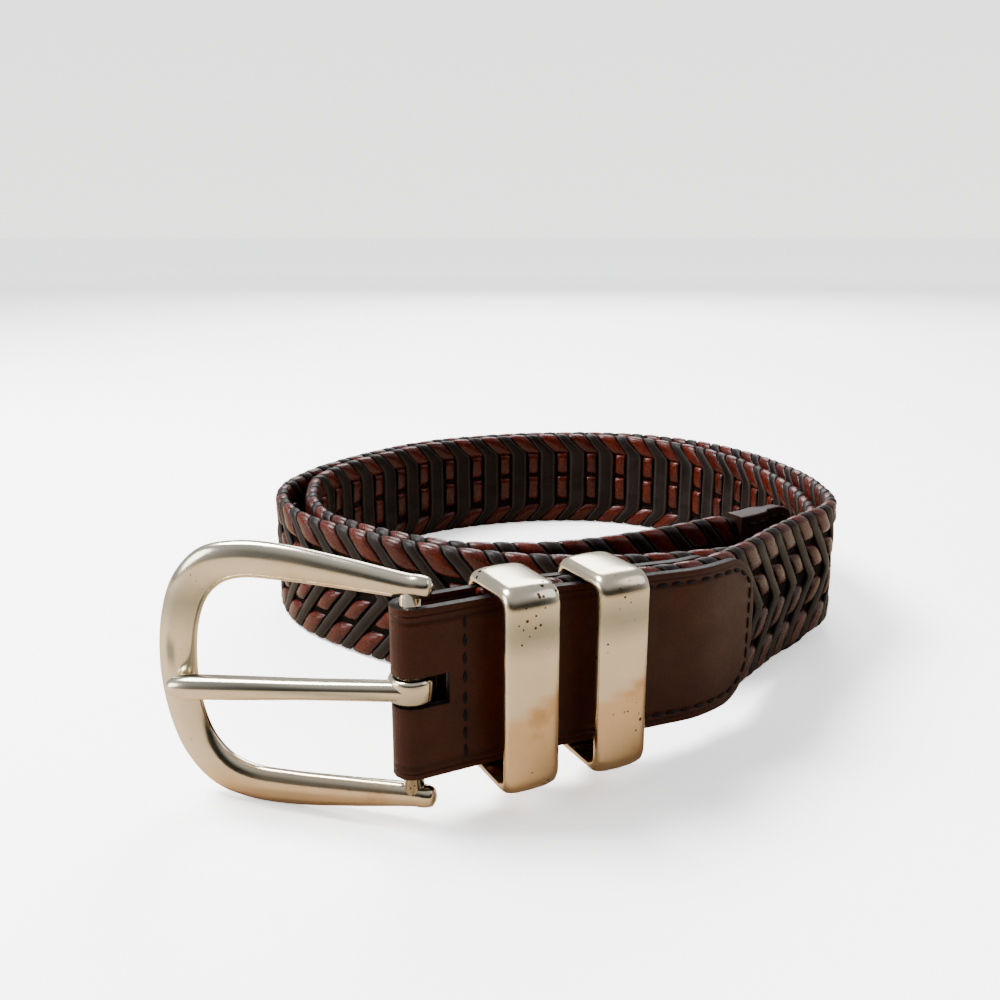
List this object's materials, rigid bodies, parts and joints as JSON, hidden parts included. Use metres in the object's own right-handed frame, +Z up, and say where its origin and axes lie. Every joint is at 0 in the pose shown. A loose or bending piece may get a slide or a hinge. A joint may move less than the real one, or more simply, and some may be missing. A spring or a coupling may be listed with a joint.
{
  "type": "braided belt",
  "caption": "Woven brown leather belt, unfastened and coiled on its edge, with a rounded pin buckle and metal keeper loops.",
  "frame": {"origin": "on the surface under the middle of the whole belt's box", "axes": "+X along the chape from the buckle's bar, +Y from the chape towards the coil, +Z up, across the strap's width"},
  "size_m": [0.1938, 0.1806, 0.05],
  "materials": {
    "braid_leather": "glossy crackled red-brown strands over matt grey-brown bands",
    "chape_leather": "smooth brown leather, semi-matt, with painted dark edges",
    "tip_leather": "smooth brown leather, semi-matt, with painted dark edges",
    "buckle_metal": "polished champagne nickel with light tarnish",
    "prong_metal": "polished champagne nickel, lightly scratched",
    "keeper_metal": "polished champagne nickel with brown specks"
  },
  "bodies": {
    "strap": {"braid": "braid_leather", "chape": "chape_leather", "tip_tab": "tip_leather"},
    "buckle": {"buckle_frame": "buckle_metal"},
    "prong": {"prong": "prong_metal"},
    "keeper_1": {"keeper_1": "keeper_metal"},
    "keeper_2": {"keeper_2": "keeper_metal"}
  },
  "joints": [
    {"name": "buckle_swing", "type": "hinge", "parent": "strap", "child": "buckle", "pos_m": [-0.06021, -0.07915, 0.025], "axis": [0, 0, 1], "range_deg": [-60, 55]},
    {"name": "prong_swing", "type": "hinge", "parent": "buckle", "child": "prong", "pos_m": [-0.06021, -0.07915, 0.0264], "axis": [0, 0, 1], "range_deg": [0, 90]},
    {"name": "keeper_1_slide", "type": "slide", "parent": "strap", "child": "keeper_1", "axis": [1, 0, 0], "range_m": [-0.003, 0.003]},
    {"name": "keeper_2_slide", "type": "slide", "parent": "strap", "child": "keeper_2", "axis": [1, 0, 0], "range_m": [-0.003, 0.004]}
  ]
}
